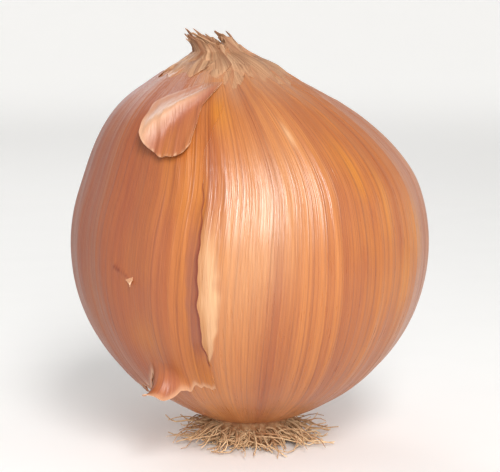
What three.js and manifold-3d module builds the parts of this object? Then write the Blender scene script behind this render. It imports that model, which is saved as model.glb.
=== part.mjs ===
// A dry yellow onion standing on its root end: the bulb with its neck, the torn remnant of its outermost
// skin, and the root plate with its dried rootlets.
// Millimetres, +Z up. The origin is the middle of the flat spot under the roots. Angles run round the axis
// from +X, and the onion's face, where the outer skin is torn, looks along -Y.

import * as THREE from "three";
import { mergeVertices } from "three/addons/utils/BufferGeometryUtils.js";
import Module from "manifold-3d";

const wasm = await Module();
wasm.setup();

// Driving dimensions of the bulb
const BULB_DIAMETER = 84;
const ROOT_RISE = 6; // the roots hold the lowest point of the globe this far off the surface
const BASE_RADIUS = 10; // flat underside that sits on the root plate
const BASE_ANGLE = 62; // degrees below the equator where the globe turns into the base
const SHOULDER_ANGLE = 60; // degrees above the equator where the globe turns into the neck
const NECK_WAIST_RADIUS = 7;
const NECK_TIP_RADIUS = 3.8;
const NECK_HEIGHT = 5.5; // from the crown of the globe to the closed tip of the neck
const NECK_LEAN = 7; // sideways reach of the neck's tip
const NECK_LEAN_ANGLE = 186;
const LEAN_START = 13; // height above the equator where the upper part starts to lean over

// Driving dimensions of the relief
const BULB_SIDES = 80;
const RIB_HEIGHT = 0.35; // veins that run from root to neck
const NECK_FOLD_DEPTH = 1.2;
const NECK_TWIST = 0.05; // radians of twist for each millimetre of neck

// Driving dimensions of the dried leaf ends in the neck
const LEAF_END_COUNT = 6;
const LEAF_END_LENGTH = 7;
const LEAF_END_WIDTH = 6;
const LEAF_END_THICKNESS = 0.8;

// Driving dimensions of the torn outer skin
const SKIN_GAP = 0.35;
const SKIN_THICKNESS = 0.7;
const TEAR_ANGLE = -105; // the tear down the onion's face
const TEAR_DRIFT = 14; // degrees that the tear swings round on its way up to the neck
const SKIN_SPAN = 195; // degrees of the bulb that are still covered, clockwise from the tear
const FLAP_ANGLE = -119.5; // the free end of the lobe that has come loose over the shoulder
const FLAP_ROOT_ANGLE = -98;
const FLAP_WIDTH = 13.2;
const FLAP_ROOT_WIDTH = 4;
const FLAP_FOLD = 2.2; // height of the crease along the lobe
const FLAP_LIFT = 1.4; // how far its free end stands off

// Driving dimensions of the root tuft
const PLATE_RADIUS = 9;
const REST_RADIUS = 8;
const PLATE_GAP = 0.35;
const ROOTLET_COUNT = 50;
const ROOTLET_RADIUS = 0.7;
const ROOTLET_REACH = [12, 21]; // how far from the axis the tips lie
const ROOTLET_SIDES = 4;
const ROOTLET_STEPS = 5;

// Heights that follow from the driving dimensions
const BULB_RADIUS = BULB_DIAMETER / 2;
const EQUATOR_Z = ROOT_RISE + BULB_RADIUS;
const CROWN_Z = EQUATOR_Z + BULB_RADIUS;
const NECK_TIP_Z = CROWN_Z + NECK_HEIGHT;
const BASE_Z = ROOT_RISE;

const { degToRad, lerp, smoothstep } = THREE.MathUtils;

// The bulb's outline in (radius, height), from the middle of its base up the globe to the tip of its neck.
function bulbOutline() {
  const globePoint = (degrees) =>
    new THREE.Vector2(
      BULB_RADIUS * Math.cos(degToRad(degrees)),
      EQUATOR_Z + BULB_RADIUS * Math.sin(degToRad(degrees)),
    );
  const globeTangent = (degrees) =>
    new THREE.Vector2(-Math.sin(degToRad(degrees)), Math.cos(degToRad(degrees)));
  const globeStart = globePoint(-BASE_ANGLE);
  const globeEnd = globePoint(SHOULDER_ANGLE);
  // Straight on from the shoulder until the neck's waist is reached.
  const shoulderRun = (globeEnd.x - NECK_WAIST_RADIUS - 1.5) / -globeTangent(SHOULDER_ANGLE).x;
  const shoulderTurn = globeEnd.clone().addScaledVector(globeTangent(SHOULDER_ANGLE), shoulderRun);
  const waist = new THREE.Vector2(NECK_WAIST_RADIUS, CROWN_Z + NECK_HEIGHT * 0.45);

  const outline = new THREE.Path();
  outline.moveTo(0, BASE_Z);
  outline.lineTo(BASE_RADIUS, BASE_Z);
  outline.quadraticCurveTo(BASE_RADIUS + 4.5, BASE_Z + 1.6, globeStart.x, globeStart.y);
  outline.absarc(0, EQUATOR_Z, BULB_RADIUS, degToRad(-BASE_ANGLE), degToRad(SHOULDER_ANGLE), false);
  outline.quadraticCurveTo(shoulderTurn.x, shoulderTurn.y, waist.x, waist.y);
  outline.quadraticCurveTo(NECK_TIP_RADIUS + 1, NECK_TIP_Z - 2, NECK_TIP_RADIUS, NECK_TIP_Z - 0.8);
  outline.lineTo(0, NECK_TIP_Z);
  return outline;
}

const OUTLINE = bulbOutline();
const OUTLINE_STEPS = [1, 3, 26, 9, 3, 1]; // steps for each stretch of the outline

// How far the skin stands proud of the outline: shallow uneven ribs, gathered into folds where the neck
// closes.
function relief(angle, height) {
  const ribs =
    0.45 * Math.cos(13 * angle + 0.6) + 0.35 * Math.cos(19 * angle + 2.1) + 0.35 * Math.cos(3 * angle + 1.3);
  const gathered = smoothstep(height, EQUATOR_Z + BULB_RADIUS * 0.7, CROWN_Z + NECK_HEIGHT * 0.5);
  const turn = NECK_TWIST * (height - CROWN_Z);
  const twisted = angle - turn;
  const folds =
    0.4 * Math.cos(8 * twisted) + 0.35 * Math.cos(5 * twisted + 1.7) + 0.35 * Math.cos(3 * twisted + 0.4);
  const level = smoothstep(height, BASE_Z, BASE_Z + 4); // the underside stays flat
  return level * (RIB_HEIGHT * (1 - gathered) * ribs + NECK_FOLD_DEPTH * gathered * folds);
}

// Sideways lean of the neck at a height.
function lean(height) {
  const along = smoothstep(height, EQUATOR_Z + LEAN_START, NECK_TIP_Z);
  return new THREE.Vector3(
    NECK_LEAN * along * Math.cos(degToRad(NECK_LEAN_ANGLE)),
    NECK_LEAN * along * Math.sin(degToRad(NECK_LEAN_ANGLE)),
    0,
  );
}

// A point on the bulb's skin, or lifted off it: along is the share of the outline's length from root to tip.
function onSkin(angle, along, lift = 0) {
  const p = OUTLINE.getPoint(along);
  const before = OUTLINE.getPoint(Math.max(0, along - 0.004));
  const after = OUTLINE.getPoint(Math.min(1, along + 0.004));
  const tangent = after.sub(before).normalize();
  const radius = p.x + relief(angle, p.y) + lift * tangent.y;
  const height = p.y - lift * tangent.x;
  return new THREE.Vector3(radius * Math.cos(angle), radius * Math.sin(angle), height).add(lean(p.y));
}

// Solids in and out of the boolean library.
function solidOf(geometry) {
  const bare = geometry.clone();
  bare.deleteAttribute("normal");
  bare.deleteAttribute("uv");
  const merged = mergeVertices(bare, 1e-4);
  const corners = Array.from(merged.index.array);
  const kept = [];
  for (let i = 0; i < corners.length; i += 3) {
    const [a, b, c] = corners.slice(i, i + 3);
    if (a !== b && b !== c && c !== a) kept.push(a, b, c);
  }
  return new wasm.Manifold(
    new wasm.Mesh({
      numProp: 3,
      vertProperties: merged.attributes.position.array,
      triVerts: new Uint32Array(kept),
    }),
  );
}

function geometryOf(solid) {
  const mesh = solid.getMesh();
  const geometry = new THREE.BufferGeometry();
  geometry.setAttribute("position", new THREE.BufferAttribute(new Float32Array(mesh.vertProperties), 3));
  geometry.setIndex(new THREE.BufferAttribute(new Uint32Array(mesh.triVerts), 1));
  geometry.computeVertexNormals();
  return geometry;
}

const joined = (solids) => geometryOf(solids.reduce((whole, solid) => whole.add(solid)));

// Moves each vertex of a geometry to where place() puts it.
function reshape(geometry, place) {
  const position = geometry.attributes.position;
  for (let i = 0; i < position.count; i++) {
    const p = place(new THREE.Vector3().fromBufferAttribute(position, i));
    position.setXYZ(i, p.x, p.y, p.z);
  }
  return geometry;
}

// A thin sheet: place(across, along, face) puts each point, with all three running from 0 to 1. The squares
// of its inner face are split along the same diagonal as those of its outer face.
function sheet(acrossSteps, alongSteps, place) {
  const block = new THREE.BoxGeometry(1, 1, 1, acrossSteps, alongSteps, 1);
  const inner = block.groups[5];
  for (let i = inner.start; i < inner.start + inner.count; i += 6) {
    const [a, b, d, , c] = block.index.array.slice(i, i + 6);
    block.index.array.set([a, b, c, a, c, d], i);
  }
  return reshape(block, (p) => place(p.x + 0.5, p.y + 0.5, p.z + 0.5));
}

// The same numbers on every run.
function seededRandom(seed) {
  let state = seed;
  return () => {
    state = (state * 1664525 + 1013904223) % 4294967296;
    return state / 4294967296;
  };
}

// The globe and neck: the outline turned round the axis, with its skin's relief and the neck's lean.
function globeWithNeck() {
  const points = OUTLINE.curves.flatMap((curve, i) => curve.getPoints(OUTLINE_STEPS[i]).slice(i ? 1 : 0));
  points[0].x = 0;
  points[points.length - 1].x = 0;
  const turned = new THREE.LatheGeometry(points, BULB_SIDES).rotateX(Math.PI / 2);
  return reshape(turned, (p) => {
    const radius = Math.hypot(p.x, p.y);
    const angle = Math.atan2(p.y, p.x);
    const grown = radius + relief(angle, p.z) * smoothstep(radius, 0, NECK_TIP_RADIUS);
    return new THREE.Vector3(grown * Math.cos(angle), grown * Math.sin(angle), p.z).add(lean(p.z));
  });
}

// A dried leaf end: a hollowed blade that starts inside the neck, leans out, twists and ends in a torn edge.
function leafEnd(index, random) {
  const angle = (index / LEAF_END_COUNT) * Math.PI * 2 + random() * 0.6;
  const length = LEAF_END_LENGTH * lerp(0.6, 1, random());
  const splay = lerp(0, 0.22, random());
  const curl = lerp(-0.6, 0.6, random());
  const footHeight = NECK_TIP_Z - LEAF_END_LENGTH * 0.62;
  return sheet(4, 4, (across, along, face) => {
    const width = LEAF_END_WIDTH * (1 - 0.45 * along) * (across - 0.5);
    const turn = angle + curl * along;
    const hollow = 0.09 * width * width;
    const thickness = (face - 0.5) * LEAF_END_THICKNESS;
    const out = NECK_TIP_RADIUS * 0.75 + splay * length * along * along - hollow + thickness;
    const torn = Math.sin(across * 7 + index * 2) * 1.4 * along;
    return new THREE.Vector3(
      out * Math.cos(turn) - width * Math.sin(turn),
      out * Math.sin(turn) + width * Math.cos(turn),
      footHeight + length * along + torn,
    ).add(lean(NECK_TIP_Z));
  });
}

function bulb() {
  const random = seededRandom(31);
  const blades = Array.from({ length: LEAF_END_COUNT }, (_, i) => solidOf(leafEnd(i, random)));
  return joined([solidOf(globeWithNeck()), ...blades]);
}

// The torn skin that still wraps the onion's left and back, up to its neck: torn nearly straight down its
// face, hanging in ragged tongues below, and lifted along its tear and its foot.
function wrappedSkin() {
  const [lowest, highest] = [0.17, 0.9]; // share of the outline that it covers
  return sheet(34, 18, (across, along, face) => {
    const behind = 1 - across; // from the tear back round the onion
    const torn = 0.7 * Math.sin(along * 8 + 0.5) + 0.35 * Math.sin(along * 19);
    const drift = TEAR_DRIFT * smoothstep(along, 0.7, 0.95) * Math.pow(across, 4);
    const angle = degToRad(TEAR_ANGLE + torn * (across - behind) + drift - behind * SKIN_SPAN);
    const tongues = 0.06 * Math.abs(Math.sin(across * 17 + 0.4)) + 0.03 * Math.abs(Math.sin(across * 29 + 1));
    const height = lerp(lowest + tongues, highest, along);
    const freeEdge = 0.9 * Math.pow(across, 14) + 1.8 * Math.pow(1 - along, 8);
    return onSkin(angle, height, SKIN_GAP + freeEdge + face * SKIN_THICKNESS);
  });
}

// The lobe of skin that has come loose over the shoulder: narrow where it is rooted at the neck, broad and
// rounded at its free end, and creased from one to the other.
function shoulderFlap() {
  const [end, root] = [0.69, 0.885]; // share of the outline at its free end and its root
  return sheet(12, 14, (across, along, face) => {
    const out = 1 - along;
    const side = 2 * across - 1;
    const rounded = 0.07 * Math.pow(side - 0.1, 2) + 0.07 * Math.pow(side, 6); // at the free end's corners
    const reached = out * (1 - rounded);
    const share = lerp(root, end, reached);
    const halfWidth = lerp(FLAP_ROOT_WIDTH, FLAP_WIDTH, smoothstep(out, 0.15, 0.6)) / 2;
    const middle = degToRad(lerp(FLAP_ROOT_ANGLE, FLAP_ANGLE, smoothstep(out, 0.1, 0.6)));
    const angle = middle + (side * halfWidth) / OUTLINE.getPoint(share).x;
    const fromCrease = side - 0.3 + 1.2 * smoothstep(out, 0.4, 1);
    const crease = Math.exp(-Math.pow(fromCrease / 0.4, 2)) * smoothstep(out, 0.35, 0.85);
    const lift = SKIN_GAP + 0.3 + FLAP_FOLD * crease + FLAP_LIFT * Math.pow(out, 3);
    return onSkin(angle, share, lift + face * SKIN_THICKNESS);
  });
}

// A dried rootlet: a tapering rod bent along a curve from the plate's rim out under the bulb.
function rootlet(index, random) {
  const angle = index * 2.39996; // golden angle, so the rootlets spread evenly
  const reach = lerp(ROOTLET_REACH[0], ROOTLET_REACH[1], Math.pow(random(), 2));
  const startHeight = lerp(1.2, 4.4, random());
  const tipHeight = lerp(0.8, 4.5, Math.pow(random(), 2));
  const swing = lerp(-0.5, 0.5, random());
  const at = (radius, turn, height) =>
    new THREE.Vector3(radius * Math.cos(angle + turn), radius * Math.sin(angle + turn), height);
  const path = new THREE.CatmullRomCurve3([
    at(PLATE_RADIUS * 0.55, 0, startHeight),
    at(PLATE_RADIUS * 1.05, 0, startHeight),
    at(lerp(PLATE_RADIUS, reach, 0.55), swing * 0.6, lerp(startHeight, tipHeight, 0.4) + random()),
    at(reach, swing, tipHeight),
  ]);
  const frames = path.computeFrenetFrames(ROOTLET_STEPS);
  const rod = new THREE.CylinderGeometry(0.5, 1, 1, ROOTLET_SIDES, ROOTLET_STEPS);
  return reshape(rod, (p) => {
    const step = Math.round((p.y + 0.5) * ROOTLET_STEPS);
    return path
      .getPointAt(step / ROOTLET_STEPS)
      .addScaledVector(frames.normals[step], -p.x * ROOTLET_RADIUS)
      .addScaledVector(frames.binormals[step], p.z * ROOTLET_RADIUS);
  });
}

function rootTuft() {
  const height = BASE_Z - PLATE_GAP;
  const plate = new THREE.CylinderGeometry(PLATE_RADIUS, REST_RADIUS, height, 24);
  plate.rotateX(Math.PI / 2).translate(0, 0, height / 2);
  const random = seededRandom(7);
  const rootlets = Array.from({ length: ROOTLET_COUNT }, (_, i) => solidOf(rootlet(i, random)));
  return joined([solidOf(plate), ...rootlets]);
}

// One named mesh for each piece.
function piece(name, geometry, color, roughness) {
  const mesh = new THREE.Mesh(geometry, new THREE.MeshStandardMaterial({ color, roughness, metalness: 0 }));
  mesh.name = name;
  return mesh;
}

const onion = new THREE.Group();
onion.add(
  piece("bulb", bulb(), 0xd89a58, 0.42),
  piece("outer_skin", joined([solidOf(wrappedSkin()), solidOf(shoulderFlap())]), 0xc08055, 0.5),
  piece("root_tuft", rootTuft(), 0xcfb58c, 0.85),
);

export default onion;
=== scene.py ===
"""A dry yellow onion standing on its root end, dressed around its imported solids.

The bulb's skin, the torn remnant of the skin over it, the papery neck and the dried roots are surfaces
worked out with numpy in the solids' own frame: metres, +Z up, the origin in the middle of the flat spot
under the roots. Angles run round the axis from +X, and the torn face looks along -Y.
"""

import math

import bpy
import numpy as np
from bpy.props import FloatProperty, FloatVectorProperty, IntProperty, PointerProperty
from bpy.types import Operator, Panel, PropertyGroup
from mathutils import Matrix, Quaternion, Vector


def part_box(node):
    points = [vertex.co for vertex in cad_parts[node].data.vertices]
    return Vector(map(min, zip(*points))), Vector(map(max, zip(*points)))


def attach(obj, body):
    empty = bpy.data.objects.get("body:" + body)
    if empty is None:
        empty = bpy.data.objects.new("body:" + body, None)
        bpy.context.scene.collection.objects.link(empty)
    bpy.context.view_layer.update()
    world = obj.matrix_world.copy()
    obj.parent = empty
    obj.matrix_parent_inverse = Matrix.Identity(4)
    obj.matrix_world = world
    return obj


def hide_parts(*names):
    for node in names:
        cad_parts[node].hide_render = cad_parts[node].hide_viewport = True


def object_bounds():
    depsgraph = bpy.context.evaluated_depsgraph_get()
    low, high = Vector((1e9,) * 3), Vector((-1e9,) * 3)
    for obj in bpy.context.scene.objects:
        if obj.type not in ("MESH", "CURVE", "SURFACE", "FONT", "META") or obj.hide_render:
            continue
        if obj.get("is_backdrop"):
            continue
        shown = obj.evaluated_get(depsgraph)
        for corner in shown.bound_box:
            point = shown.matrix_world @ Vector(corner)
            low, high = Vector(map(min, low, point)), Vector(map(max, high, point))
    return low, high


bl_info = {
    "name": "Dry Onion",
    "version": (1, 0, 0),
    "blender": (4, 5, 0),
    "location": "View3D > Sidebar > Onion",
    "description": "Dresses the onion's solids with veined skin, torn skin, a papery neck and dried roots",
    "category": "Object",
}

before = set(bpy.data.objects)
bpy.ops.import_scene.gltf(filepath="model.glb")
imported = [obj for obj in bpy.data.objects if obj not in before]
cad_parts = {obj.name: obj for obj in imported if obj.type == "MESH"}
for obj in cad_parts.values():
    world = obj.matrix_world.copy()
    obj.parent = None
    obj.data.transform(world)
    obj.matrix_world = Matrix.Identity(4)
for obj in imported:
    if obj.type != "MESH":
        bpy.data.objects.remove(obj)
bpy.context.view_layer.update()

TURN = 2.0 * math.pi
MM = 0.001

# Height of the picture over its width
PICTURE_SHAPE = 472 / 500

# The steepest angle between faces that is shaded as one smooth surface
SMOOTH_LIMIT = math.radians(80)

# Where the circle of the grain starts, half a turn from the back, where the count of veins starts
GRAIN_START = math.radians(-120)

# Turn of the neck's folds for each metre up, and of each rootlet from the one before
NECK_TWIST = 50
GOLDEN_TURN = 2.39996

# Soft marks on the skin: angle in degrees, height, half width and half height in millimetres
AMBER_MARKS = (
    (-50, 68, 1.8, 6),
    (-41, 60, 1.5, 9),
    (-25, 53, 4, 8),
    (-33, 42, 2, 8),
    (-127.5, 30.8, 5, 5),
    (-96, 81, 3.5, 4),
)
# A painted highlight, which also stands for paler fresh skin beside the tear, given the same way
PALE_SKIN_AND_HIGHLIGHT = (-87, 55, 10.5, 24)
# A small painted glint, given the same way
PAINTED_GLINT = (-68.8, 76, 0.8, 2.2)

# How far the painted highlight moves round for each step up, slanting as the light's reflection does, and
# from what height
HIGHLIGHT_SLANT = 0.4
HIGHLIGHT_LEVEL = 54 * MM

# A nick in the skin on the left, from end to end: angle in degrees, height in millimetres
NICK = ((-135.2, 46.9), (-130.6, 45.1))

# Lights: place, width and height in metres, and slant in degrees
LIGHTS = {
    "key": ((0.13, -0.75, 0.52), (0.24, 0.72), -18),
    "fill": ((0.7, -0.35, 0.5), (0.5, 0.5), 0),
    "back": ((-0.35, 0.85, 0.6), (0.5, 0.5), 0),
}
LIGHT_AIM = Vector((0, 0, 0.05))
LIGHT_BEAM = math.radians(80)

# Radius of the floor's flat part and of the arc in which it turns up, in metres
FLOOR_FLAT = 1.6
FLOOR_RISE = 0.9


# Kinds of setting

def amount(name, description, default, **kind):
    """A number, plain or of a kind that Blender knows."""
    return FloatProperty(name=name, description=description, default=default, **kind)


def length(name, description, millimetres):
    """A size, given in millimetres and kept in metres."""
    return amount(name, description, millimetres * MM, unit="LENGTH", precision=5)


def bearing(name, description, degrees):
    """An angle, given in degrees and kept in radians."""
    return amount(name, description, math.radians(degrees), subtype="ANGLE")


def whole(name, description, default):
    """A whole number of things."""
    return IntProperty(name=name, description=description, default=default)


def colour(name, description, *screen):
    """A colour, given as screen values of 0 to 255 and kept as linear values."""
    share = np.array(screen) / 255.0
    linear = np.where(share <= 0.04045, share / 12.92, ((share + 0.055) / 1.055) ** 2.4).tolist()
    return FloatVectorProperty(
        name=name, description=description, default=linear, subtype="COLOR", size=3, min=0.0, max=1.0
    )


# Sizes and colours

class BulbSettings(PropertyGroup):
    """The globe, its neck and the skin that wraps it whole."""

    diameter: length("Diameter", "Width of the globe at its equator", 84)
    base_height: length("Base height", "Height of the underside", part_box("bulb")[0].z / MM)
    base_radius: length("Base radius", "Radius of the underside", 10)
    base_angle: bearing("Base angle", "Where the globe ends below its equator", 62)
    shoulder_angle: bearing("Shoulder angle", "Where the globe ends above its equator", 60)
    waist_radius: length("Waist radius", "Radius of the neck at its narrow waist", 7)
    tip_radius: length("Tip radius", "Radius of the neck where it closes", 3.8)
    neck_height: length("Neck height", "Height of the neck above the globe", 5.5)
    lean: length("Lean", "Sideways reach of the neck's tip", 7)
    lean_angle: bearing("Lean angle", "Direction in which the neck leans", 186)
    lean_start: length("Lean start", "Where the lean starts above the equator", 13)
    rib_height: length("Rib height", "Height of the broad ribs", 0.35)
    fold_depth: length("Fold depth", "Depth of the folds in the neck", 1.2)
    cord_count: whole("Cords", "Low cords round the bulb", 64)
    cord_height: length("Cord height", "Height of the low cords", 0.13)
    vein_count: whole("Veins", "Fine veins round the bulb", 112)
    gold: colour("Gold", "Light parts of the skin", 190, 114, 50)
    copper: colour("Copper", "Dark parts of the skin", 154, 76, 28)
    amber: colour("Amber", "Clear yellow patches", 196, 120, 32)
    vein_brown: colour("Vein brown", "Fine veins", 112, 54, 28)
    # Cream is also the colour of the painted highlight and the painted glint
    cream: colour("Cream", "Fresh skin beside the tear", 216, 168, 122)
    straw: colour("Straw", "Dry skin at the neck and the root", 186, 134, 96)


class SkinSettings(PropertyGroup):
    """The torn remnant of the outermost skin."""

    tear_angle: bearing("Tear angle", "Where the tear runs down the face", -105)
    tear_drift: bearing("Tear drift", "How far the tear swings round near the neck", 14)
    span: bearing("Span", "How far the skin reaches clockwise from the tear", 195)
    gap: length("Gap", "How far the skin lies off the bulb", 0.35)
    thickness: length("Thickness", "Thickness of the dry skin", 0.2)
    open_low: length("Open from", "Height where the tear closes to a point", 26)
    open_high: length("Open to", "Height where the tear closes above", 62)
    open_width: length("Open width", "Width of the fresh skin beside the tear", 4.1)
    lip_width: length("Lip width", "Width of the lip along the tear", 3.4)
    lip_height: length("Lip height", "How far that lip stands up", 1.5)
    roll_length: length("Roll length", "How much of the foot rolls outwards", 12)
    flap_angle: bearing("Flap angle", "Where the lobe's free end lies", -118.5)
    flap_root: bearing("Flap root", "Where the lobe is rooted at the neck", -98)
    flap_low: length("Flap low", "Height of the lobe's free end", 70.6)
    flap_high: length("Flap high", "Height of the lobe's root", 89)
    flap_width: length("Flap width", "Width of the lobe near its free end", 12.6)
    root_width: length("Root width", "Width of the lobe where it is rooted", 4)
    crease: length("Crease", "Height of the crease along the lobe", 2.2)
    flap_lift: length("Flap lift", "How far the lobe's free end stands off", 1.4)
    mauve: colour("Mauve", "Mauve cast of the loose skin", 150, 88, 76)
    lining: colour("Lining", "Pale inner face of the skin", 216, 170, 134)
    # Edge is the painted shadow along the torn edges and the nick, and the painted shade of the left side
    edge: colour("Edge", "Dark rim and shade of the left side", 112, 38, 22)


class NeckSettings(PropertyGroup):
    """The papery sheaths and leaf ends of the neck."""

    sheaths: whole("Sheaths", "Papery sheaths round the neck", 5)
    leaf_ends: whole("Leaf ends", "Dried leaf ends in the neck", 8)
    top: length("Top", "Mean height of the ragged tops", 95)
    thickness: length("Thickness", "Thickness of a sheath", 0.2)
    # Bark is also laid into the hollows of the folds and at the feet of the leaf ends as painted shade
    tan: colour("Tan", "Sheaths in the light", 212, 168, 128)
    bark: colour("Bark", "Sheaths in the folds", 142, 92, 60)


class RootSettings(PropertyGroup):
    """The root plate and its dried rootlets."""

    plate_radius: length("Plate radius", "Radius of the root plate", 9)
    rest_radius: length("Rest radius", "Radius of the flat spot", 8)
    rootlets: whole("Rootlets", "Dried rootlets round the plate", 340)
    thickness: length("Thickness", "Diameter of a rootlet at its foot", 0.8)
    reach: length("Reach", "Furthest reach of a rootlet", 22)
    pale: colour("Pale", "Light rootlets", 238, 206, 162)
    dark: colour("Dark", "Dark rootlets", 156, 104, 64)


class StageSettings(PropertyGroup):
    """Floor, light and camera."""

    floor: colour("Floor", "Pale floor", 246, 245, 243)
    lens: amount("Lens", "Focal length in millimetres", 135.0)
    elevation: bearing("Elevation", "Height of the camera above the horizon", 8)
    margin: amount("Margin", "Room round the onion in the picture", 1.14)
    key_power: amount("Key light", "Strength of the main light", 2.0, unit="POWER")
    fill_power: amount("Fill light", "Strength of the side light", 0.06, unit="POWER")
    back_power: amount("Back light", "Strength of the rear light", 0.5, unit="POWER")
    sky: amount("Sky", "Strength of the even light", 0.46)
    glow: amount("Glow", "Own light of the far backdrop", 0.38)


# Forms

def smooth(value, low, high):
    """0 up to low, 1 from high, and a smooth S-curve between."""
    share = np.clip((value - low) / (high - low), 0.0, 1.0)
    return share * share * (3.0 - 2.0 * share)


def mix(first, second, share):
    """The value that lies a share of the way from first to second."""
    return first + (second - first) * share


def bell(distance, width):
    """A bell curve: 1 at no distance, next to nothing past two widths."""
    return np.exp(-((distance / width) ** 2))


def full_turn(count):
    """Angles of equal steps round a full turn."""
    return np.arange(count) * TURN / count


def turn_from(angle, start):
    """The turn from start to an angle, by the shorter way round."""
    return (angle - start + math.pi) % TURN - math.pi


def waves(angle, *parts):
    """A sum of cosines round the axis, each given by its count, height and phase."""
    return sum(tall * np.cos(count * angle + phase) for count, tall, phase in parts)


def wander(position, seed, sines=6, lowest=1.0, highest=9.0):
    """A smooth uneven line: a sum of sines of seeded pitch and phase, about -1 to 1."""
    draw = np.random.default_rng(seed)
    pitch = draw.uniform(lowest, highest, sines)
    phase = draw.uniform(0, TURN, sines)
    total = np.sin(np.asarray(position)[..., None] * pitch * TURN + phase).sum(axis=-1)
    return total / math.sqrt(sines) * 0.8


def ridges(count, seed, width=0.16, samples=8192):
    """Heights of uneven narrow ridges round a full turn: a bell for each, of its own place and size."""
    draw = np.random.default_rng(seed)
    pitch = TURN / count
    centre = (np.arange(count) + draw.uniform(-0.38, 0.38, count)) * pitch
    strength = draw.uniform(0.25, 1.0, count)
    spread = draw.uniform(0.6, 1.4, count) * width * pitch
    angle = full_turn(samples)
    return angle, (strength * bell(turn_from(angle[:, None], centre), spread)).max(axis=1)


def straight(start, end, steps=60):
    """Points along a straight line."""
    return mix(np.array(start), np.array(end), np.linspace(0, 1, steps)[:, None])


def bend(start, control, end, steps=300):
    """Points along a quadratic curve."""
    share = np.linspace(0, 1, steps)[:, None]
    return mix(straight(start, control, steps), straight(control, end, steps), share)


def stack(*parts):
    """Points whose coordinates are these arrays, brought to one shape."""
    return np.stack(np.broadcast_arrays(*parts), axis=-1)


def turned(radius, angle, height, shift=(0.0, 0.0)):
    """Points at a distance from the axis, an angle round it and a height, shifted sideways."""
    return stack(radius * np.cos(angle) + shift[0], radius * np.sin(angle) + shift[1], height)


class SkinForm:
    """The bulb's surface: a ribbed outline turned round the axis, folded and leaning over at its neck.

    The outline runs from the middle of the base round the globe and up the neck to its tip. A point is given
    by its angle round the axis, its share of the outline's length and its lift along the normal.
    """

    def __init__(self, bulb):
        self.bulb = bulb
        self.radius = bulb.diameter / 2
        self.middle = bulb.base_height + self.radius
        self.crown = self.middle + self.radius
        self.tip = self.crown + bulb.neck_height
        turn = np.linspace(-bulb.base_angle, bulb.shoulder_angle, 1200)
        globe = np.stack([self.radius * np.cos(turn), self.middle + self.radius * np.sin(turn)], 1)
        slope = np.array([-math.sin(bulb.shoulder_angle), math.cos(bulb.shoulder_angle)])
        shoulder_turn = globe[-1] + slope * (globe[-1, 0] - bulb.waist_radius - 1.5 * MM) / -slope[0]
        base_edge = (bulb.base_radius, bulb.base_height)
        base_turn = (bulb.base_radius + 4.5 * MM, bulb.base_height + 1.6 * MM)
        waist = (bulb.waist_radius, self.crown + 0.45 * bulb.neck_height)
        neck_turn = (bulb.tip_radius + 1 * MM, self.tip - 2 * MM)
        neck_edge = (bulb.tip_radius, self.tip - 0.8 * MM)
        line = np.concatenate([
            straight((0, bulb.base_height), base_edge),
            bend(base_edge, base_turn, globe[0]),
            globe,
            bend(globe[-1], shoulder_turn, waist),
            bend(waist, neck_turn, neck_edge),
            straight(neck_edge, (0, self.tip)),
        ])
        step = np.hypot(*np.diff(line, axis=0).T)
        self.line = line[np.append(True, step > 1e-9)]
        travelled = np.append(0, np.cumsum(step[step > 1e-9]))
        tangent = unit(np.gradient(self.line, travelled, axis=0))
        self.normal = np.stack([tangent[:, 1], -tangent[:, 0]], 1)
        self.length = travelled[-1]
        self.share = travelled / self.length

    def read(self, along, values):
        """A value known along the outline, at a share of its length."""
        return np.interp(along, self.share, values)

    def height(self, along):
        """Height of the outline at a share of its length."""
        return self.read(along, self.line[:, 1])

    def reach(self, along):
        """Radius of the outline at a share of its length."""
        return self.read(along, self.line[:, 0])

    def share_at(self, height):
        """Share of the outline's length at a height on the globe or neck."""
        rising = self.line[:, 1] > self.bulb.base_height
        return np.interp(height, self.line[rising, 1], self.share[rising])

    def relief(self, angle, height):
        """Uneven cosines round the axis: ribs that give way to deeper, twisted folds up the neck."""
        bulb = self.bulb
        gathered = smooth(height, self.middle + 0.7 * self.radius, self.crown + 0.5 * bulb.neck_height)
        twisted = angle - NECK_TWIST * (height - self.crown)
        ribs = waves(angle, (13, 0.45, 0.6), (19, 0.35, 2.1), (3, 0.35, 1.3))
        folds = waves(twisted, (8, 0.4, 0), (5, 0.35, 1.7), (3, 0.35, 0.4))
        level = smooth(height, bulb.base_height, bulb.base_height + 4 * MM)
        return level * (bulb.rib_height * (1 - gathered) * ribs + bulb.fold_depth * gathered * folds)

    def lean(self, height, further=0.0):
        """Sideways shift of a height: a smooth lean from the upper globe to the tip, and further."""
        bulb = self.bulb
        shift = bulb.lean * smooth(height, self.middle + bulb.lean_start, self.tip) + further
        return shift * math.cos(bulb.lean_angle), shift * math.sin(bulb.lean_angle)

    def point(self, angle, along, lift=0.0):
        """Points at these angles and shares, lifted off the surface."""
        height = self.height(along)
        radius = self.reach(along)
        grown = radius + self.relief(angle, height) * smooth(radius, 0, self.bulb.tip_radius)
        grown = grown + lift * self.read(along, self.normal[:, 0])
        raised = height + lift * self.read(along, self.normal[:, 1])
        return turned(grown, angle, raised, self.lean(height))


# Meshes

def unit(vectors):
    """Vectors brought to a length of one."""
    return vectors / np.maximum(np.linalg.norm(vectors, axis=-1, keepdims=True), 1e-12)


def normals(points):
    """Unit normals of a grid of points, from its steps across and up."""
    return unit(np.cross(np.gradient(points, axis=1), np.gradient(points, axis=0)))


def quads(rows, columns, wrap=False):
    """Corner numbers of a grid's quads, turned outwards; wrap joins the last column to the first."""
    across = np.arange(columns if wrap else columns - 1)
    low = np.arange(rows - 1)[:, None] * columns
    left = low + across
    right = low + (across + 1) % columns
    return np.stack([left, right, right + columns, left + columns], -1).reshape(-1, 4)


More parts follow.
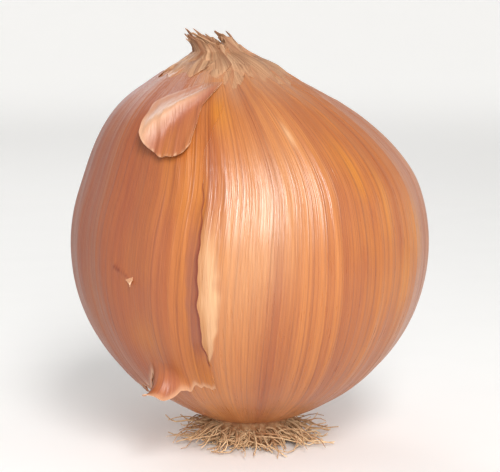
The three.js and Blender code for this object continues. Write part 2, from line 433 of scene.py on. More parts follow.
def shell_faces(rows, columns):
    """Faces of a thin closed sheet, its outer grid followed by its inner one: both sides and the rim."""
    size = rows * columns
    outer = quads(rows, columns)
    number = np.arange(size).reshape(rows, columns)
    border = np.concatenate([number[0], number[1:, -1], number[-1, -2::-1], number[-2:0:-1, 0]])
    after = np.roll(border, -1)
    rim = np.stack([after, border, border + size, after + size], -1)
    return np.concatenate([outer, outer[:, ::-1] + size, rim])


def lathe(outline, columns, rough=0.0):
    """Points and quads of an outline of radii and heights turned round the axis, grown by a roughness."""
    points = turned(outline[:, :1] + rough, full_turn(columns), outline[:, 1:])
    return points, quads(len(outline), columns, wrap=True)


def grain_space(angle, along):
    """A seamless place for lengthwise grain: the angle on a unit circle, and the share of the outline."""
    return turned(1.0, angle - GRAIN_START, along)


def new_object(name, points, faces, material, attributes):
    """A smooth mesh at the origin, with values for its vertices under names that materials read."""
    mesh = bpy.data.meshes.new(name)
    mesh.from_pydata(points.reshape(-1, 3).tolist(), [], faces)
    mesh.polygons.foreach_set("use_smooth", np.ones(len(mesh.polygons), bool))
    for title, values in attributes.items():
        values = np.asarray(values, np.float32)
        kind, slot = ("FLOAT_VECTOR", "vector") if values.ndim == 2 else ("FLOAT", "value")
        mesh.attributes.new(title, kind, "POINT").data.foreach_set(slot, values.ravel())
    mesh.materials.append(material)
    made = bpy.data.objects.new(name, mesh)
    bpy.context.scene.collection.objects.link(made)
    return made


def place(name, points, faces, material, attributes, node):
    """Makes one finished piece, riding on the onion and standing for a solid of it."""
    piece = new_object(name, points, faces, material, attributes)
    if piece.data.validate():
        raise RuntimeError(f"{name} has faces that don't join up")
    piece.data.set_sharp_from_angle(angle=SMOOTH_LIMIT)
    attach(piece, "root")
    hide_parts(node)


def place_sheets(name, sheets, thickness, material, node):
    """Makes one piece of thin sheets of one grid size, each given thickness inwards and a lining.

    A sheet is a grid of points and the values of its attributes, by name.
    """
    rows, columns = sheets[0][0].shape[:2]
    size = rows * columns
    points, values = [], {"lining": []}
    for grid, attributes in sheets:
        points += [grid.reshape(-1, 3), (grid - thickness * normals(grid)).reshape(-1, 3)]
        values["lining"] += [np.zeros(size), np.ones(size)]
        for title, value in attributes.items():
            vector = np.ndim(value) == 3
            flat = value.reshape(-1, 3) if vector else np.broadcast_to(value, (rows, columns)).ravel()
            values.setdefault(title, []).extend([flat, flat])
    start = np.arange(len(sheets))[:, None, None] * 2 * size
    faces = (shell_faces(rows, columns) + start).reshape(-1, 4).tolist()
    attributes = {title: np.concatenate(parts) for title, parts in values.items()}
    place(name, np.concatenate(points), faces, material, attributes, node)


# Materials

class Graph:
    """Short ways to add nodes to a node tree and join them."""

    def __init__(self, tree):
        self.tree = tree

    def join(self, node, sources):
        """Joins outputs to a node's inputs, or sets those to plain values."""
        for name, source in sources.items():
            socket = node.inputs[name]
            if isinstance(source, bpy.types.NodeSocket):
                self.tree.links.new(source, socket)
            else:
                socket.default_value = (*source, 1.0) if socket.type == "RGBA" else source

    def add(self, kind, sources, **values):
        """The outputs of a new shader node with these inputs and properties."""
        node = self.tree.nodes.new(f"ShaderNode{kind}")
        for name, value in values.items():
            setattr(node, name, value)
        self.join(node, sources)
        return node.outputs

    def attribute(self, name, output="Fac"):
        """What is stored on the mesh under a name."""
        return self.add("Attribute", {}, attribute_name=name)[output]

    def where(self):
        """The place on the object itself."""
        return self.add("TexCoord", {})["Object"]

    def sums(self, operation, first, second):
        """Arithmetic on two values."""
        return self.add("Math", {0: first, 1: second}, operation=operation)[0]

    def weigh(self, *parts):
        """A sum of values, each times its weight."""
        total = 0.0
        for value, weight in parts:
            total = self.sums("ADD", self.sums("MULTIPLY", value, weight), total)
        return total

    def spread(self, value, low, high, to_low=0.0, to_high=1.0):
        """A value taken from one range to another, and kept inside it."""
        return self.add("MapRange", dict(enumerate((value, low, high, to_low, to_high))))[0]

    def blend(self, share, first, second):
        """Two colours mixed. The node's inputs for colours are numbers 6 and 7, and its output number 2."""
        return self.add("Mix", {0: share, 6: first, 7: second}, data_type="RGBA")[2]

    def tint(self, base, **colours):
        """A colour with others laid over it, each by the share stored on the mesh under its name."""
        for name, over in colours.items():
            base = self.blend(self.attribute(name), base, over)
        return base

    def noise(self, where, scale, detail=2.0, roughness=0.5):
        """Cloudy noise at a place."""
        sources = {"Vector": where, "Scale": scale, "Detail": detail, "Roughness": roughness}
        return self.add("TexNoise", sources)["Fac"]

    def stretch(self, where, *factors):
        """A place scaled by its own factor along each axis."""
        return self.add("VectorMath", {0: where, 1: factors}, operation="MULTIPLY")[0]

    def lines(self, position, scale, width):
        """Uneven lines along a position, as a mask, and a chance value for each strip between them."""
        sources = {"W": position, "Scale": scale, "Randomness": 0.8}
        made = self.add("TexVoronoi", sources, voronoi_dimensions="1D")
        chance = self.add("SeparateColor", {"Color": made["Color"]})["Red"]
        return self.spread(made["Distance"], 0.02, width, 1.0, 0.0), chance

    def bump(self, height, distance, strength):
        """Fine relief from a height that changes over the surface."""
        return self.add("Bump", {"Height": height, "Distance": distance, "Strength": strength})["Normal"]

    def shared(self, fill, bulb):
        """The outputs of a shared node group, which a function fills when it is first asked for."""
        group = bpy.data.node_groups.get(fill.__name__)
        if group is None:
            group = bpy.data.node_groups.new(fill.__name__, "ShaderNodeTree")
            inside = Graph(group)
            made = fill(inside, bulb)
            for title, source in made.items():
                kind = "NodeSocketColor" if source.type == "RGBA" else "NodeSocketFloat"
                group.interface.new_socket(title, in_out="OUTPUT", socket_type=kind)
            inside.join(group.nodes.new("NodeGroupOutput"), made)
        return self.add("Group", {}, node_tree=group)


def new_material(fill, *settings):
    """A material named after the function that says what is joined to its Principled shader."""
    material = bpy.data.materials.new(fill.__name__)
    material.use_nodes = True
    graph = Graph(material.node_tree)
    graph.join(material.node_tree.nodes["Principled BSDF"], fill(graph, *settings))
    return material


def dried_grain(graph, bulb):
    """Lengthwise grain of dried skin: broad bands, fine fibres, blotches, veins and strips between."""
    grain = graph.attribute("grain", "Vector")
    lengthwise = graph.stretch(grain, 1.0, 1.0, 0.16)
    part = graph.add("SeparateXYZ", {0: grain})
    cloud = graph.noise(graph.stretch(grain, 1.0, 1.0, 0.8), 1.4, 0.0)
    turn = graph.sums("DIVIDE", graph.sums("ARCTAN2", part["Y"], part["X"]), TURN)
    turn = graph.sums("ADD", turn, graph.spread(cloud, 0.0, 1.0, -0.03, 0.03))
    bold, strips = graph.lines(turn, bulb.vein_count, 0.13)
    patchy = graph.spread(graph.noise(lengthwise, 30.0), 0.35, 0.65, 0.25, 1.0)
    return {
        "Bands": graph.noise(lengthwise, 9.0, 3.0, 0.55),
        "Fibres": graph.noise(lengthwise, 95.0, 3.0, 0.6),
        "Blotches": graph.noise(graph.stretch(grain, 1.0, 1.0, 1.8), 2.2, 3.0, 0.55),
        "Veins": graph.sums("MULTIPLY", bold, patchy),
        "Hairlines": graph.lines(turn, bulb.vein_count * 2.7, 0.2)[0],
        "Strips": strips,
    }


def veined_skin(graph, bulb):
    """Golden-copper skin: strips of light and dark, amber in patches, brown in its raised veins."""
    grain = graph.shared(dried_grain, bulb)
    tone = graph.weigh((grain["Strips"], 0.3), (grain["Bands"], 0.9), (grain["Fibres"], 0.35))
    base = graph.blend(graph.spread(tone, 0.46, 1.1), bulb.copper, bulb.gold)
    base = graph.blend(graph.spread(grain["Blotches"], 0.5, 0.72, 0.0, 0.5), base, bulb.amber)
    base = graph.tint(base, amber=bulb.amber, dry=bulb.straw)
    base = graph.blend(graph.sums("MULTIPLY", grain["Hairlines"], 0.22), base, bulb.vein_brown)
    base = graph.blend(graph.sums("MULTIPLY", grain["Veins"], 0.4), base, bulb.vein_brown)
    height = graph.weigh((grain["Veins"], 0.6), (grain["Fibres"], 1.0), (grain["Hairlines"], 0.3))
    return {"Colour": base, "Fibres": grain["Fibres"], "Height": height}


def veined_gold_skin(graph, bulb):
    """The skin that wraps the bulb whole: veined gold, cream where it is fresh and where a highlight and a
    glint are painted.
    """
    veined = graph.shared(veined_skin, bulb)
    fibrous = graph.spread(veined["Fibres"], 0.35, 0.65, 0.7, 1.0)
    # fresh holds the fresh skin together with the painted highlight and the painted glint
    fresh = graph.sums("MULTIPLY", graph.attribute("fresh"), fibrous)
    return {
        "Base Color": graph.blend(fresh, veined["Colour"], bulb.cream),
        "Roughness": graph.spread(veined["Fibres"], 0.3, 0.7, 0.26, 0.4),
        "Specular IOR Level": 0.85,
        "Normal": graph.bump(veined["Height"], 0.1 * MM, 0.7),
    }


def torn_brown_skin(graph, bulb, skin):
    """The same gold, mauve where it is loose, pale where it frays and inside and as painted light on the
    lobe, dark with painted shade at its rim and on its left side.
    """
    veined = graph.shared(veined_skin, bulb)
    # pale also carries painted light on the lobe, and rim carries painted shade along the torn edges and on
    # the left side
    tints = {"loose": skin.mauve, "pale": skin.lining, "lining": skin.lining, "rim": skin.edge}
    crinkle = graph.noise(graph.where(), 260.0, 3.0, 0.6)
    return {
        "Base Color": graph.tint(veined["Colour"], **tints),
        "Roughness": graph.spread(veined["Fibres"], 0.3, 0.7, 0.34, 0.5),
        "Specular IOR Level": 0.5,
        "Normal": graph.bump(graph.sums("ADD", veined["Height"], crinkle), 0.12 * MM, 0.7),
    }


def papery_neck(graph, bulb, neck):
    """Straw-tan paper with brown in its folds as painted shade, and fine fibres along it."""
    grain = graph.shared(dried_grain, bulb)
    tone = graph.weigh((grain["Strips"], 0.5), (grain["Bands"], 1.0))
    base = graph.blend(graph.spread(tone, 0.4, 1.1), neck.bark, neck.tan)
    base = graph.blend(graph.spread(grain["Fibres"], 0.5, 0.8, 0.0, 0.6), base, neck.bark)
    return {
        # fold lays the bark colour in as painted shade
        "Base Color": graph.tint(base, fold=neck.bark, foot=bulb.straw),
        "Roughness": graph.spread(grain["Fibres"], 0.3, 0.7, 0.45, 0.7),
        "Normal": graph.bump(graph.sums("ADD", grain["Fibres"], grain["Veins"]), 0.2 * MM, 0.8),
    }


def dried_root(graph, root):
    """Dried roots: each rootlet has its own tone, darker at its foot and mottled along it."""
    mottle = graph.noise(graph.where(), 900.0, 3.0, 0.6)
    tone = graph.sums("ADD", graph.attribute("tone"), graph.spread(mottle, 0.3, 0.7, -0.25, 0.25))
    return {
        "Base Color": graph.blend(graph.spread(tone, 0.0, 1.0), root.dark, root.pale),
        "Roughness": graph.spread(mottle, 0.3, 0.7, 0.65, 0.9),
        "Normal": graph.bump(mottle, 0.2 * MM, 0.8),
    }


def pale_floor(graph, stage):
    """Pale matt floor with a faint mottle, which brightens into a backdrop far off."""
    mottle = graph.spread(graph.noise(graph.where(), 30.0), 0.3, 0.7, 0.0, 0.03)
    return {
        "Base Color": graph.blend(mottle, stage.floor, (0.5, 0.5, 0.5)),
        "Roughness": 0.8,
        "Emission Color": graph.blend(graph.attribute("far"), (0.0, 0.0, 0.0), stage.floor),
        "Emission Strength": stage.glow,
    }


# The bulb and the marks on its skin

def spot(form, angle, height, middle, level, width, tall):
    """A soft oval mark on the skin, 1 at its middle: a bell across and a bell up."""
    away = turn_from(angle, math.radians(middle)) * form.radius
    return bell(away, width * MM) * bell(height - level * MM, tall * MM)


def amber_marks(form, angle, height):
    """The clear yellow streaks on the right, the patch below the neck and the one low on the left."""
    return np.clip(0.75 * sum(spot(form, angle, height, *mark) for mark in AMBER_MARKS), 0, 0.85)


def dry_ends(form, angle, height):
    """Dry straw at the neck and round the root, with an edge made uneven by sines round the axis."""
    uneven = 1.6 * np.sin(7 * angle + 1) + 1.2 * np.sin(16 * angle) + 0.8 * np.sin(37 * angle)
    level = height + uneven * MM
    neck = smooth(level, form.crown - 9 * MM, form.crown + 3 * MM)
    root = 1 - smooth(level, 7 * MM, 15 * MM)
    return np.clip(0.9 * neck + 0.2 * root, 0, 1)


def fresh_skin(form, skin, angle, height):
    """Fresh skin beside the tear, pointed and crisp below and softer upwards, with a broad painted highlight
    that also stands for paler fresh skin, and a small painted glint.
    """
    away = turn_from(angle, skin.tear_angle) * form.radius
    rise = np.clip((height - skin.open_low) / (skin.open_high - skin.open_low), 0, 1)
    width = skin.open_width * np.minimum(rise / 0.3, 1) ** 0.7 * (1 + 0.1 * wander(rise, 11))
    soft = 0.3 * MM + 3 * MM * rise
    strip = (1 - smooth(away, width - soft, width + 0.3 * soft)) * smooth(away, -6 * MM, -4 * MM)
    strip = strip * smooth(rise, 0, 0.02) * (1 - smooth(rise, 0.7, 1)) * (1 - 0.35 * rise)
    # A slanted painted highlight, which also stands for paler fresh skin, and a small painted glint
    slant = HIGHLIGHT_SLANT * (height - HIGHLIGHT_LEVEL) / form.radius
    glow = spot(form, angle - slant, height, *PALE_SKIN_AND_HIGHLIGHT)
    return np.clip(0.95 * strip + 0.4 * glow + 0.7 * spot(form, angle, height, *PAINTED_GLINT), 0, 1)


def cords(form, angle, along):
    """Low uneven ridges round the bulb, which sway a little on their way from root to neck."""
    sway = 0.04 * np.sin(4 * along + 2 * angle)
    turn, heights = ridges(form.bulb.cord_count, 3)
    taper = smooth(form.reach(along), form.bulb.base_radius, form.radius * 0.6)
    return form.bulb.cord_height * taper * np.interp((angle + sway) % TURN, turn, heights, period=TURN)


def pleats(form, angle, height):
    """Narrow pleats where the skin gathers into the neck: two cosines round the axis that grow upwards."""
    twisted = angle - NECK_TWIST * (height - form.crown)
    gathered = smooth(height, form.crown - 12 * MM, form.crown + 2 * MM)
    return 0.16 * MM * gathered * waves(twisted, (29, 1.0, 1), (43, 0.8, 2))


class ONION_OT_bulb(Operator):
    """Makes the bulb's veined skin with its folded neck"""

    bl_idname = "onion.bulb"
    bl_label = "Bulb"

    def execute(self, context):
        bulb, skin = context.scene.onion_bulb, context.scene.onion_skin
        form = SkinForm(bulb)
        rows, columns = 140, 640
        angle = full_turn(columns)
        along = np.linspace(0, 1, rows + 2)[1:-1, None]
        height = form.height(along)
        points = form.point(angle, along, cords(form, angle, along) + pleats(form, angle, height))
        poles = form.point(np.zeros(2), np.array([0.0, 1.0]))
        here = np.arange(columns)
        following = np.roll(here, -1)
        top, pole = (rows - 1) * columns, np.full(columns, rows * columns)
        caps = np.array([[following, here, pole], [here + top, following + top, pole + 1]])
        caps = caps.transpose(0, 2, 1).reshape(-1, 3)
        faces = quads(rows, columns, wrap=True).tolist() + caps.tolist()
        attributes = {
            "grain": np.concatenate([grain_space(angle, along).reshape(-1, 3), [[0, 0, 0], [0, 0, 1]]]),
            "amber": np.append(amber_marks(form, angle, height), [0, 0]),
            # The fresh skin with the painted highlight and the painted glint
            "fresh": np.append(fresh_skin(form, skin, angle, height), [0, 0]),
            "dry": np.append(dry_ends(form, angle, height), [1, 1]),
        }
        points = np.concatenate([points.reshape(-1, 3), poles])
        material = new_material(veined_gold_skin, bulb)
        place("bulb_skin", points, faces, material, attributes, "bulb")
        return {"FINISHED"}


# The torn skin

def torn_sheet(form, angle, share, lift, loose, pale, rim=0.0):
    """A grid of points off the bulb, and what the torn skin's material reads there."""
    height = form.height(share)
    return form.point(angle, share, lift), {
        "grain": grain_space(angle, share),
        "amber": amber_marks(form, angle, height),
        "dry": dry_ends(form, angle, height),
        "loose": loose,
        "pale": pale,
        "rim": rim,
    }


def tongues(across):
    """How much shorter each strip of the torn foot is: slanting ends of chance size, joined by slopes."""
    strips = 26
    draw = np.random.default_rng(28)
    edges = (np.arange(1, strips) + draw.uniform(-0.35, 0.35, strips - 1)) / strips
    strip = np.searchsorted(edges, across)
    start = np.append(0, edges)[strip]
    ends = draw.uniform(0, 0.075, strips)[strip] + draw.uniform(-0.6, 0.6, strips)[strip] * (across - start)
    slope = np.hanning(9)
    return np.convolve(np.pad(ends, 4, "edge"), slope / slope.sum(), "valid")


def nick(form, angle, height):
    """How far a point lies from the short slanting nick on the left."""
    start, end = (np.array([math.radians(turn) * form.radius, level * MM]) for turn, level in NICK)
    here = stack(angle * form.radius, height) - start
    run = end - start
    share = np.clip((here @ run) / (run @ run), 0, 1)
    return np.linalg.norm(here - share[..., None] * run, axis=-1) + 0.25 * MM * share


def wrap(form, skin):
    """The skin on the left and back: torn strips that roll outwards below, a lip standing up at the tear.

    Across runs from the hidden edge behind to the tear. What lies below the roll's line is laid along an arc
    off the surface, the tightest on one tongue low on the left.
    """
    across = np.linspace(0, 1, 420)
    along = np.linspace(0, 1, 112)[:, None]
    behind = 1 - across
    tongue = bell(across - 0.892, 0.05)
    foot_line = 0.18 + 0.015 * wander(across, 9, 5, 1, 4) + 0.038 * tongue
    foot = foot_line + tongues(across) + 0.003 * wander(across, 8, 9, 30, 90)
    top = 0.875 + 0.012 * wander(across, 15, 6, 2, 14) - 0.07 * bell(across, 0.25)
    share = mix(foot, top, along)
    height = form.height(share)
    ragged = math.radians(0.3) * (np.sin(share * 11) + np.sin(share * 26) + wander(share, 5, 8, 5, 32))
    drift = skin.tear_drift * smooth(share, 0.66, 0.85) * across**4
    angle = skin.tear_angle + ragged * (across**8 - 3 * behind**8) + drift - behind * skin.span
    from_tear = behind * skin.span * form.reach(share)
    from_back = across * skin.span * form.reach(share)
    from_foot = (share - foot) * form.length
    cut = nick(form, angle, height)

    opened = smooth(height, skin.open_low - 2 * MM, skin.open_low + 8 * MM)
    opened = opened * (1 - smooth(height, skin.open_high - 14 * MM, skin.open_high + 6 * MM))
    lip = skin.lip_height * opened * np.clip(1 - from_tear / skin.lip_width, 0, 1) ** 1.3
    hug = (1 - opened) * bell(from_tear, 5 * MM)
    back_lip = 0.7 * MM * bell(from_back, 3 * MM) * np.clip(wander(share, 27, 4, 0.7, 4), 0, 1)
    crumple = 0.15 * MM * wander(across * 3 + share * 0.4, 21, 6, 1, 5) * smooth(from_tear, 0, 6 * MM)
    curled = 0.2 + 2.5 * tongue + 0.25 * np.clip(wander(across, 71, 5, 1, 6), 0, 1)
    arc = skin.roll_length / curled
    below = np.maximum(skin.roll_length - (share - foot_line) * form.length, 0)
    share = share + (below - arc * np.sin(below / arc)) / form.length
    lift = (skin.gap + 0.15 * MM) * (1 - 0.55 * hug) + lip + back_lip + crumple
    lift = lift + arc * (1 - np.cos(below / arc)) + cords(form, angle, share)
    lift = lift + 0.3 * MM * bell(cut, 0.7 * MM)

    # The left side of the skin, painted darker and a little more mauve as painted shade
    left = bell(angle + math.pi, 0.8)
    band = opened * (1 - smooth(from_tear, 0.7 * skin.lip_width, 1.1 * skin.lip_width))
    loose = np.clip(0.3 + 0.1 * left + 0.4 * band, 0, 0.8) * smooth(from_tear, 0, 12 * MM) + 0.4 * band
    # Paler on the rolled tongue near its foot, partly its own paler skin and partly painted light where it
    # curls out
    paler_and_lit = 0.4 * tongue * bell(from_foot, 6 * MM) * np.clip(wander(across, 81, 6, 4, 20), 0, 1)
    pale = np.clip(0.7 * bell(from_foot, 1.2 * MM) + paler_and_lit, 0, 0.85)
    # Painted shadow in a thin dark line along the tear, the back edge and the nick, and painted shade over
    # the left side
    open_edge = np.where(opened > 0.02, from_tear / np.maximum(opened, 0.02), 1.0)
    edge = np.minimum(np.minimum(open_edge, from_back), cut)
    rim = np.maximum(0.85 * bell(edge, 0.5 * MM), 0.5 * left)
    return torn_sheet(form, angle, share, lift, np.clip(loose, 0, 0.8), pale, rim)


def flap(form, skin):
    """The lobe over the shoulder: narrow at the neck, broad and rounded at its free end, creased between.

    Side runs across it from -1 to 1, and out from its free end, 1, to its root, 0.
    """
    side = np.linspace(-1, 1, 90)
    out = np.linspace(1, 0, 80)[:, None]
    reached = out * (1 - 0.07 * (side - 0.1) ** 2 - 0.07 * side**6 + 0.01 * wander(side, 33, 5, 0.4, 2.2))
    share = mix(form.share_at(skin.flap_high), form.share_at(skin.flap_low), reached)
    half = mix(skin.root_width, skin.flap_width, smooth(out, 0.15, 0.6)) / 2
    half = half * (1 - 0.08 * smooth(out, 0.75, 1))
    angle = mix(skin.flap_root, skin.flap_angle, smooth(out, 0.1, 0.6)) + side * half / form.reach(share)
    beside = side - 0.3 + 1.2 * smooth(out, 0.4, 1)
    crease = bell(beside, np.where(beside > 0, 0.3, 0.5)) * smooth(out, 0.1, 0.7)
    rumple = 0.12 * MM * wander(side * 0.8 + 0.2 * out, 36, 6, 1, 5) * out
    lift = mix(-0.3 * MM, skin.gap + 0.5 * MM, smooth(out, 0, 0.3)) + skin.crease * crease
    lift = lift + skin.flap_lift * out**3 + rumple + cords(form, angle, share)
    loose = (0.75 - 0.4 * smooth(beside, 0.1, 0.9)) * smooth(out, 0.05, 0.4)
    edge = np.minimum((1 - np.abs(side)) * half, (1 - out) * 22 * MM)
    frayed = smooth(out, 0.6, 1) * np.clip(0.2 + 0.5 * wander(side, 39, 7, 1, 8), 0, 0.8)
    # Paler over the lobe's left face, partly its grey-pink colour and partly painted light on that face,
    # with a painted highlight along the crease
    paler_and_lit = 0.4 * (1 - smooth(beside, -0.1, 0.5)) * smooth(out, 0.1, 0.5)
    pale = np.clip(paler_and_lit + 0.35 * crease + frayed * bell(edge, 0.4 * MM), 0, 0.8)
    return torn_sheet(form, angle, share, lift, loose, pale)


def flake(form, skin):
    """A scrap of skin held along one side beside the nick: it tapers and rolls off in an uneven arc."""
    middle, level, tilt = math.radians(-129.6), 44.6 * MM, math.radians(200)
    width, tall, roll = 2.4 * MM, 1.8 * MM, 2.0 * MM
    across = np.linspace(-1, 1, 24)
    free = np.linspace(0, 1, 18)[:, None]
    half = 0.5 * width * (1 - 0.95 * free**1.2) * (1 + 0.1 * wander(free, 24, 4, 1, 3))
    far = tall * free * (1 - 0.25 * across**2 + 0.12 * wander(across, 25, 5, 0.5, 2.5))
    arc = roll * (1.2 + 0.4 * across)
    run = arc * np.sin(far / arc)
    sideways = across * half * math.cos(tilt) - run * math.sin(tilt)
    upwards = across * half * math.sin(tilt) + run * math.cos(tilt)
    share = form.share_at(level) + upwards / form.length
    angle = middle + sideways / form.reach(share)
    lift = skin.gap + 0.3 * MM + arc * (1 - np.cos(far / arc))
    return torn_sheet(form, angle, share, lift, loose=0.0, pale=0.6)


class ONION_OT_torn_skin(Operator):
    """Makes the torn remnant of the outermost skin, its loose lobe and its flake"""

    bl_idname = "onion.torn_skin"
    bl_label = "Torn skin"

    def execute(self, context):
        bulb, skin = context.scene.onion_bulb, context.scene.onion_skin
        form = SkinForm(bulb)
        material = new_material(torn_brown_skin, bulb, skin)
        for name, make in {"torn_skin": wrap, "shoulder_flap": flap, "skin_flakes": flake}.items():
            place_sheets(name, [make(form, skin)], skin.thickness, material, "outer_skin")
        return {"FINISHED"}


# The neck

def bow(form, height):
    """Sideways shift up the neck: the bulb's lean, then a bend that grows with the square of the height."""
    return form.lean(height, 70 * np.maximum(height - form.crown, 0) ** 2)


def sheath(form, neck, index, draw):
    """A pleated, twisted part of a tube that closes in above the waist and ends in ragged points."""
    start = draw.uniform(0, TURN)
    span = draw.uniform(2.8, 5.8)
    top = neck.top + draw.uniform(-2.5, 1.5) * MM
    phase = draw.uniform(0, TURN)
    flare = draw.uniform(-0.6, 1.2) * MM
    around = np.linspace(0, 1, 110) * span
    up = np.linspace(0, 1, 40)[:, None]
    angle = start + around + 0.7 * up
    points_up = 1 - np.abs(np.sin(around * draw.uniform(0.9, 1.8) + phase)) ** 0.8
    ragged = 3.6 * MM * points_up + 0.6 * MM * wander(around, 40 + index, 7, 0.5, 3.5)
    foot = form.crown - draw.uniform(0, 3) * MM + 1.3 * MM * wander(around, 60 + index, 6, 0.3, 2.2)
    height = mix(foot, top + ragged, up)
    share = form.share_at(np.minimum(height, form.tip - 2 * MM))
    twisted = angle - 1.2 * NECK_TWIST * (height - form.crown)
    folds = waves(twisted, (9, 0.6, phase), (17, 0.4, 2 * phase))
    freed = smooth(up, 0.02, 0.5)
    layer = (0.3 * index * smooth(up, 0, 0.5) - 0.05) * MM
    radius = form.reach(share) * (1 - 0.25 * smooth(up, 0.4, 1)) + layer
    radius = radius + form.relief(angle, np.minimum(height, form.tip)) * (1 - 0.4 * up)
    radius = radius + 0.45 * MM * freed * folds + flare * up**4
    return turned(radius, angle, height, bow(form, height)), {
        "grain": grain_space(angle, height * 8 + index),
        # Painted shade in the hollows of the folds
        "fold": 0.55 * np.clip(0.5 - 0.6 * folds, 0, 1) * freed,
        "foot": 0.9 * (1 - freed),
    }


def leaf_end(form, index, draw):
    """A dried strip that rises out of the neck, bowed across, tapering and bending over towards its tip."""
    across = np.linspace(-1, 1, 14)
    up = np.linspace(0, 1, 22)[:, None]
    angle = index * 2.4 + draw.uniform(-0.3, 0.3)
    tall = draw.uniform(4.5, 8) * MM
    half = draw.uniform(1.4, 2.8) * MM * (1 - 0.85 * up**1.4)
    over = draw.uniform(-1.0, 3.5) * MM * up**2
    wave = 0.7 * MM * np.sin(6 * up + draw.uniform(0, TURN))
    height = form.tip - 5 * MM + tall * up
    away = 1.6 * MM + over - 0.35 * (across * half) ** 2 / MM + 0.2 * MM * np.cos(9 * across)
    sideways = across * half + wave * up
    side_x, side_y = bow(form, height)
    x = away * math.cos(angle) - sideways * math.sin(angle) + side_x
    y = away * math.sin(angle) + sideways * math.cos(angle) + side_y
    grain = stack(1.3 + sideways / form.radius * 6, 0.2 * index, height * 8)
    # The leaf ends are painted darker towards their feet, as painted shade where they leave the neck
    return stack(x, y, height), {"grain": grain, "fold": 0.35 * (1 - up), "foot": 0.0}


class ONION_OT_neck(Operator):
    """Makes the papery sheaths and leaf ends of the neck"""

    bl_idname = "onion.neck"
    bl_label = "Neck"

    def execute(self, context):
        bulb, neck = context.scene.onion_bulb, context.scene.onion_neck
        form = SkinForm(bulb)
        material = new_material(papery_neck, bulb, neck)
        draw = np.random.default_rng(17)
        sheaths = [sheath(form, neck, index, draw) for index in range(neck.sheaths)]
        ends = [leaf_end(form, index, draw) for index in range(neck.leaf_ends)]
        for name, sheets in {"neck_sheaths": sheaths, "leaf_ends": ends}.items():
            place_sheets(name, sheets, neck.thickness, material, "bulb")
        return {"FINISHED"}


# The roots

def plate(bulb, root, material):
    """A corky disc let into the bulb: a rounded outline turned round the axis, roughened by sines."""
    columns, inner = 96, 0.3 * MM
    foot, rim = (root.rest_radius, 0), (root.plate_radius, bulb.base_height + 0.4 * MM)
    outline = np.concatenate([
        straight((inner, 0), foot, 10),
        bend(foot, (root.plate_radius * 1.06, 1.5 * MM), rim, 16)[1:],
        straight(rim, (inner, rim[1]), 8)[1:],
    ])
    angle, height = full_turn(columns), outline[:, 1:]
    rough = 0.25 * MM * (np.sin(9 * angle + 500 * height) + np.sin(23 * angle + 900 * height))
    points, sides = lathe(outline, columns, rough * smooth(height, 0, 1 * MM))
    last = (len(outline) - 1) * columns
    faces = sides.tolist() + [list(range(columns))[::-1], list(range(last, last + columns))]
    tone = np.full(last + columns, 0.12)
    place("root_plate", points, faces, material, {"tone": tone}, "root_tuft")


def rootlets(form, root, material):
    """Tapering curly rods that leave the plate's side, sag to the surface and curl under the bulb."""
    count, steps, sides = root.rootlets, 10, 5
    draw = np.random.default_rng(5)
    along = np.linspace(0, 1, steps)
    column = (count, 1)
    angle = np.arange(count)[:, None] * GOLDEN_TURN + draw.uniform(-0.2, 0.2, column)
    start_height = mix(0.8 * MM, form.bulb.base_height - 0.6 * MM, np.sqrt(draw.random(column)))
    tip_height = 0.5 * MM + 3.5 * MM * draw.random(column) ** 2
    reach = mix(root.plate_radius + 2 * MM, root.reach, draw.random(column) ** 2.2)
    swing = draw.normal(0, 0.35, column)
    curl = draw.uniform(0.3, 1.4, column) * MM
    swirl = draw.uniform(0.8, 2.2, column) * TURN * along + draw.uniform(0, TURN, column)
    radius = mix(root.plate_radius * 0.75, reach, along)
    turn = angle + swing * along**1.5 + curl * along * np.sin(swirl) / radius
    height = mix(start_height, tip_height, smooth(along, 0.1, 1.0)) + curl * along * np.cos(swirl)
    under_globe = form.middle - np.sqrt(form.radius**2 - np.minimum(radius, form.radius * 0.9) ** 2)
    ceiling = np.maximum(form.bulb.base_height, under_globe - 1 * MM) - 0.5 * MM
    path = turned(radius, turn, np.clip(height, 0.42 * MM, ceiling))
    tangent = unit(np.gradient(path, axis=1))
    beside = unit(np.cross(tangent, [0.0, 0.0, 1.0]))
    over = np.cross(beside, tangent)
    around = full_turn(sides)[:, None]
    thick = 0.5 * root.thickness * draw.uniform(0.55, 1.0, column) * (1 - 0.65 * along)
    ring = np.cos(around) * beside[:, :, None, :] + np.sin(around) * over[:, :, None, :]
    points = path[:, :, None, :] + thick[:, :, None, None] * ring
    offset = np.arange(count)[:, None] * steps * sides
    cap = np.arange(sides)
    faces = (quads(steps, sides, wrap=True) + offset[..., None]).reshape(-1, 4).tolist()
    faces += (cap + (steps - 1) * sides + offset).tolist() + (cap[::-1] + offset).tolist()
    tone = draw.beta(2.2, 1.6, column) * (0.55 + 0.45 * along)
    place("rootlets", points, faces, material, {"tone": np.repeat(tone, sides)}, "root_tuft")


class ONION_OT_roots(Operator):
    """Makes the root plate and its dried rootlets"""

    bl_idname = "onion.roots"
    bl_label = "Roots"

    def execute(self, context):
        bulb, root = context.scene.onion_bulb, context.scene.onion_root
        material = new_material(dried_root, root)
        plate(bulb, root, material)
        rootlets(SkinForm(bulb), root, material)
        return {"FINISHED"}


# The stage

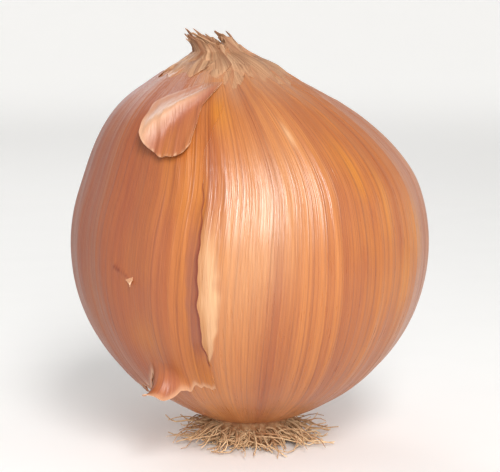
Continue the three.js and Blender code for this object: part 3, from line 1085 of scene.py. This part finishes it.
def floor(stage):
    """A flat round floor that turns up all round in an arc, its own backdrop from every side."""
    columns = 96
    turn = np.linspace(-math.pi / 2, 0, 24)
    arc = np.stack([FLOOR_FLAT + FLOOR_RISE * np.cos(turn), FLOOR_RISE + FLOOR_RISE * np.sin(turn)], 1)
    points, sides = lathe(np.concatenate([straight((0.01, 0), (FLOOR_FLAT, 0), 12)[:-1], arc]), columns)
    faces = sides[:, ::-1].tolist() + [list(range(columns))]
    far = smooth(np.hypot(points[..., 0], points[..., 1]), 0.1, 1.4).ravel()
    ground = new_object("floor", points, faces, new_material(pale_floor, stage), {"far": far})
    ground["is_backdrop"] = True


def light(scene, name, power, where, size, slant):
    """A soft light that looks at the onion's middle, its top slanted to one side."""
    lamp = bpy.data.lights.new(name, "AREA")
    lamp.shape = "RECTANGLE"
    lamp.energy = power
    lamp.size, lamp.size_y = size
    lamp.spread = LIGHT_BEAM
    made = bpy.data.objects.new(name, lamp)
    made.visible_camera = False
    made.location = where
    facing = (LIGHT_AIM - made.location).to_track_quat("-Z", "Y")
    made.rotation_euler = (facing @ Quaternion((0, 0, 1), math.radians(slant))).to_euler()
    scene.collection.objects.link(made)


def sky(scene, stage):
    """Even pale light from all round."""
    scene.world = bpy.data.worlds.new("studio")
    scene.world.use_nodes = True
    tree = scene.world.node_tree
    Graph(tree).join(tree.nodes["Background"], {"Color": (1.0, 1.0, 1.0), "Strength": stage.sky})


def camera(scene, stage):
    """A camera in front of the onion, a little above it, that takes the whole of it in."""
    low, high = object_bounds()
    lens = bpy.data.cameras.new("camera")
    lens.lens = stage.lens
    half = math.atan(lens.sensor_width / 2 / lens.lens * PICTURE_SHAPE)
    away = (high.z - low.z) / 2 * stage.margin / math.tan(half)
    back = Vector((0, -math.cos(stage.elevation), math.sin(stage.elevation)))
    eye = bpy.data.objects.new("camera", lens)
    eye.location = (low + high) / 2 + back * away
    eye.rotation_euler = (-back).to_track_quat("-Z", "Y").to_euler()
    scene.collection.objects.link(eye)
    scene.camera = eye


class ONION_OT_stage(Operator):
    """Makes the floor, the lights and the camera"""

    bl_idname = "onion.stage"
    bl_label = "Stage"

    def execute(self, context):
        scene, stage = context.scene, context.scene.onion_stage
        floor(stage)
        for name, layout in LIGHTS.items():
            light(scene, f"{name}_light", getattr(stage, f"{name}_power"), *layout)
        sky(scene, stage)
        camera(scene, stage)
        scene.view_settings.view_transform = "Standard"
        return {"FINISHED"}


# The add-on

class ONION_PT_panel(Panel):
    """Lists the onion's pieces and their settings"""

    bl_idname = "ONION_PT_panel"
    bl_label = "Onion"
    bl_space_type = "VIEW_3D"
    bl_region_type = "UI"
    bl_category = "Onion"

    def draw(self, context):
        for name, (group, operator) in STEPS.items():
            box = self.layout.box()
            box.operator(operator.bl_idname)
            for title in group.__annotations__:
                box.prop(getattr(context.scene, name), title)


STEPS = {
    "onion_bulb": (BulbSettings, ONION_OT_bulb),
    "onion_skin": (SkinSettings, ONION_OT_torn_skin),
    "onion_neck": (NeckSettings, ONION_OT_neck),
    "onion_root": (RootSettings, ONION_OT_roots),
    "onion_stage": (StageSettings, ONION_OT_stage),
}
CLASSES = [kind for pair in STEPS.values() for kind in pair] + [ONION_PT_panel]


def register():
    for kind in CLASSES:
        bpy.utils.register_class(kind)
    for name, (group, _) in STEPS.items():
        setattr(bpy.types.Scene, name, PointerProperty(type=group))


def unregister():
    for name in STEPS:
        delattr(bpy.types.Scene, name)
    for kind in reversed(CLASSES):
        bpy.utils.unregister_class(kind)


def main():
    """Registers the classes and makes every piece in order."""
    register()
    for _, operator in STEPS.values():
        getattr(bpy.ops.onion, operator.bl_idname.removeprefix("onion."))()


if __name__ == "__main__":
    main()
